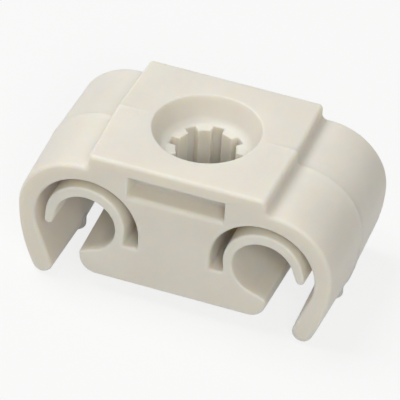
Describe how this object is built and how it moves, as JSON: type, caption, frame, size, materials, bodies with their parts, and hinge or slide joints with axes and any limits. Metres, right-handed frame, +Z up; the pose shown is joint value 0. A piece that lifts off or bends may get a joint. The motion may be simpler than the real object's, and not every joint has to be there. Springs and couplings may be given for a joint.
{
  "type": "brake line clip",
  "caption": "Moulded brake line clip: a pad with a funnelled, grooved stud socket between curled spring fingers that hold the pipes, each under a curved guard arm.",
  "frame": {"origin": "on the plane that the arm tips stand on, below the centre of the stud socket", "axes": "+X across the clip from one pipe to the other, +Y along the pipes, +Z up out of the pad along the stud"},
  "size_m": [0.0246, 0.0128, 0.0121],
  "materials": {
    "natural_nylon": "natural off-white nylon with a fine satin mould surface, faintly translucent at thin walls"
  },
  "bodies": {
    "root": {"clip_body": "natural_nylon"}
  },
  "joints": []
}
